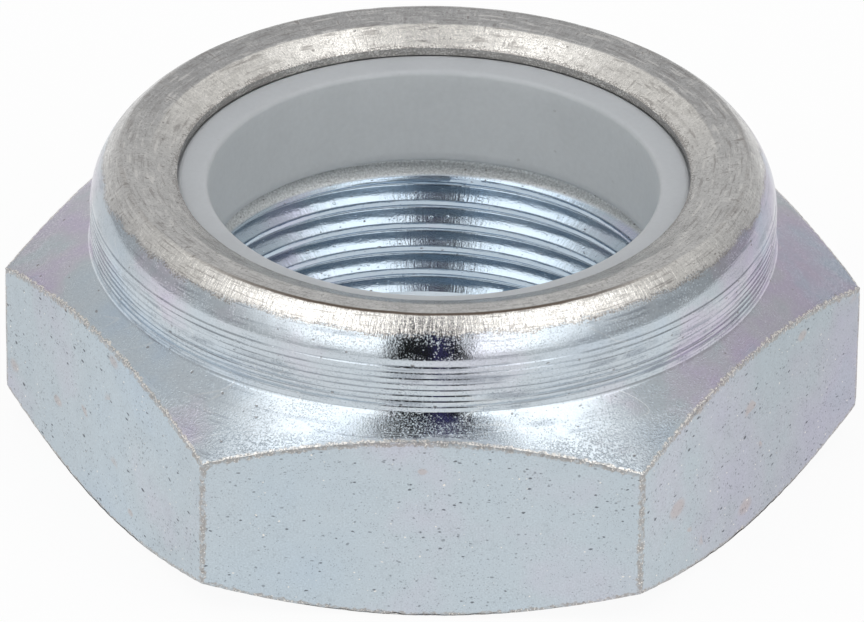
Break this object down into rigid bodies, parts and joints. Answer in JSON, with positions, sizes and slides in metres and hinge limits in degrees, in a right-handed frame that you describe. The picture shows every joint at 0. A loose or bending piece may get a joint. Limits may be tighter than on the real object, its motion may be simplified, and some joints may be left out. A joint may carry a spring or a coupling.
{
  "type": "nylon insert lock nut",
  "caption": "Low hexagon steel nut with a round collar whose rolled rim holds a nylon locking ring above a fine thread.",
  "frame": {"origin": "centre of the bearing face, on the thread's axis", "axes": "+Z along the thread's axis, from the bearing face to the rolled rim; +X through a corner of the hexagon; -Y square to a flat"},
  "size_m": [0.0474, 0.041, 0.017],
  "materials": {
    "plated_steel": "thin bright zinc plate, worn to bare steel on the rolled rim and the edges",
    "nylon": "natural nylon, cloudy grey-white, satin"
  },
  "bodies": {
    "root": {"nut_body": "plated_steel", "nylon_ring": "nylon"}
  },
  "joints": []
}
